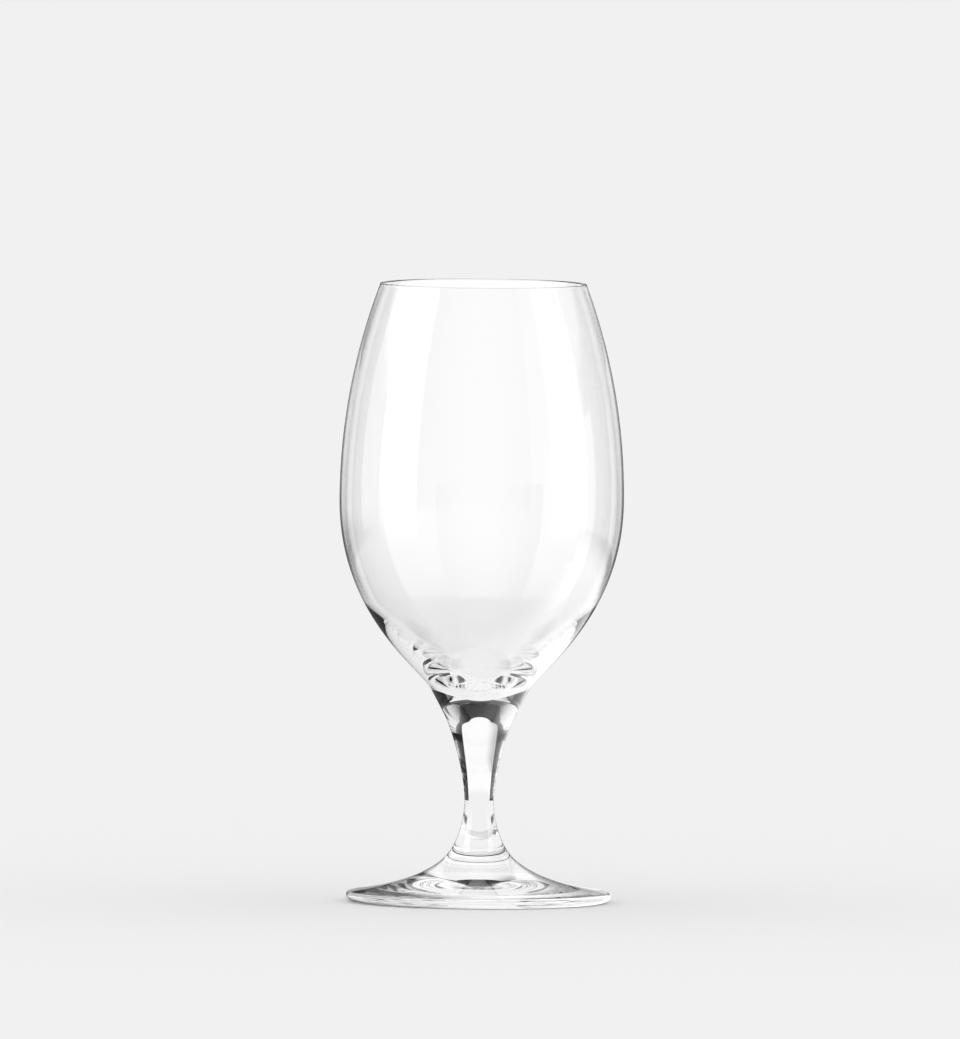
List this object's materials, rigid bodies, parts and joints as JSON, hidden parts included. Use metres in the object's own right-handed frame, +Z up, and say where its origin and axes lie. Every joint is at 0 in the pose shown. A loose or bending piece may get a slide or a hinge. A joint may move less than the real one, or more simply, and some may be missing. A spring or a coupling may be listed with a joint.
{
  "type": "beer goblet",
  "caption": "Clear glass beer goblet: thin tulip bowl with a drawn-in mouth, short waisted stem and low conical foot, fused end to end.",
  "frame": {"origin": "centre of the foot on the plane that its standing ring rests on", "axes": "+Z up the axis of the stem and bowl, out of the mouth; X and Y level, any turn about Z is the same"},
  "size_m": [0.0814, 0.0814, 0.1772],
  "materials": {
    "foot_glass": "clear, pressed and fire-polished",
    "stem_glass": "clear, pressed and fire-polished",
    "bowl_glass": "clear, blown, with a fire-polished rim"
  },
  "bodies": {
    "root": {"foot": "foot_glass", "stem": "stem_glass", "bowl": "bowl_glass"}
  },
  "joints": []
}
